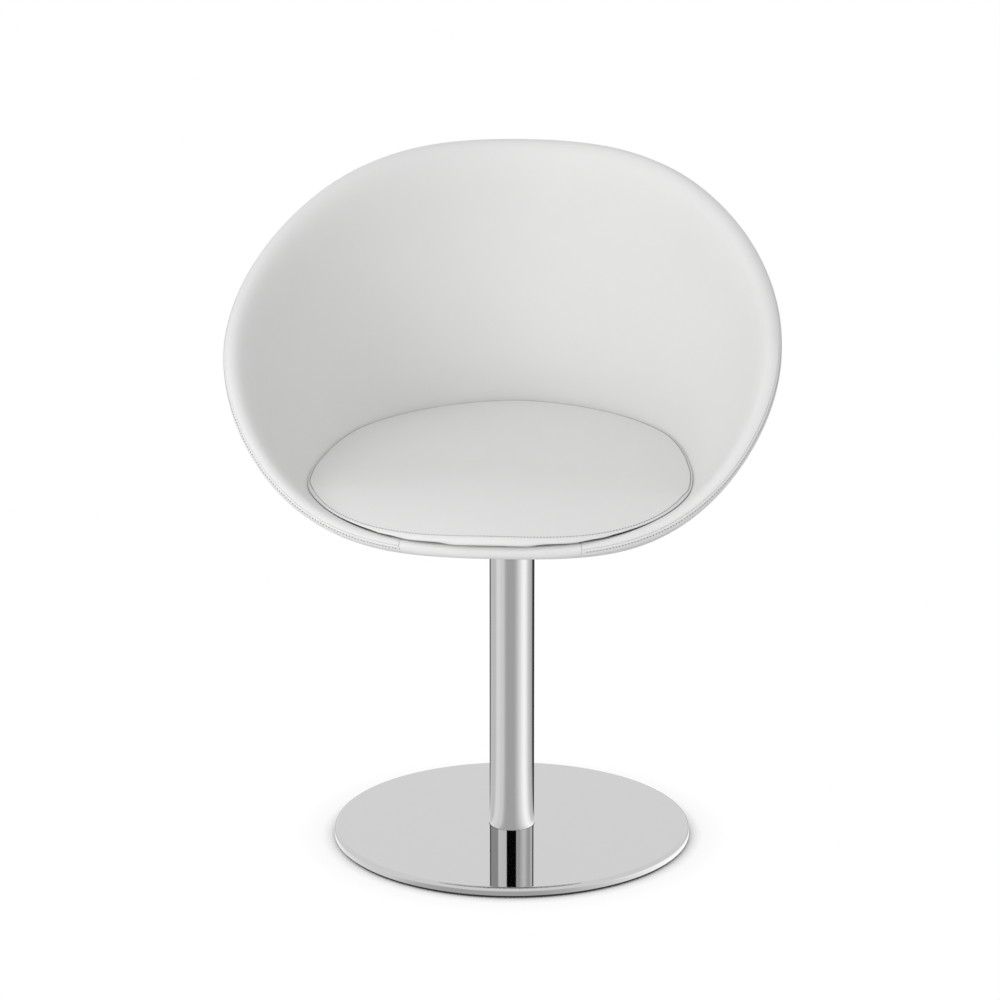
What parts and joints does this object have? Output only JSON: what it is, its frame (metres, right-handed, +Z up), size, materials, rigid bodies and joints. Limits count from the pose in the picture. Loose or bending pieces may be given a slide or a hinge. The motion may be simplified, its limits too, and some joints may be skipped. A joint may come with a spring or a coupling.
{
  "type": "pedestal swivel armchair",
  "caption": "Low bucket armchair in smooth white leather with a loose seat cushion, turning on a polished column and round disc base.",
  "frame": {"origin": "centre of the rubber pad's underside, on the floor at the column's axis", "axes": "+Z up along the column, the seat opens towards -Y, +X to the sitter's left"},
  "size_m": [0.5946, 0.5313, 0.7598],
  "materials": {
    "polished_metal": "mirror polished",
    "ballast": "matt black",
    "floor_rubber": "matt",
    "steel": "zinc plated",
    "black_steel": "black powder coat",
    "bush_plastic": "moulded acetal",
    "core_plastic": "moulded rigid foam",
    "foam": "open cell upholstery foam",
    "leather": "smooth white leather, semi matt",
    "lining": "black woven lining",
    "strip_tape": "hook and loop tape"
  },
  "bodies": {
    "pedestal": {"base_cover": "polished_metal", "ballast_plate": "ballast", "floor_pad": "floor_rubber", "column_tube": "polished_metal", "column_foot_plug": "steel", "column_screws": "steel", "upper_bush": "bush_plastic", "lower_bush": "bush_plastic", "thrust_washer": "bush_plastic"},
    "seat": {"swivel_spindle": "steel", "retaining_clip": "steel", "mounting_plate": "black_steel", "seat_screws": "steel", "seat_washers": "steel", "tee_nuts": "steel", "shell_core": "core_plastic", "outer_foam": "foam", "inner_foam": "foam", "outer_cover": "leather", "inner_cover": "leather", "front_panel": "leather", "seat_lining": "lining", "seat_hook_strips": "strip_tape"},
    "cushion": {"cushion_foam": "foam", "cushion_cover": "leather", "cushion_loop_strips": "strip_tape"}
  },
  "joints": [
    {"name": "seat_swivel", "type": "hinge", "parent": "pedestal", "child": "seat", "pos_m": [0, 0, 0.3585], "axis": [0, 0, 1], "continuous": true},
    {"name": "cushion_lift", "type": "slide", "parent": "seat", "child": "cushion", "axis": [0, 0, 1], "range_m": [0, 0.35]}
  ]
}
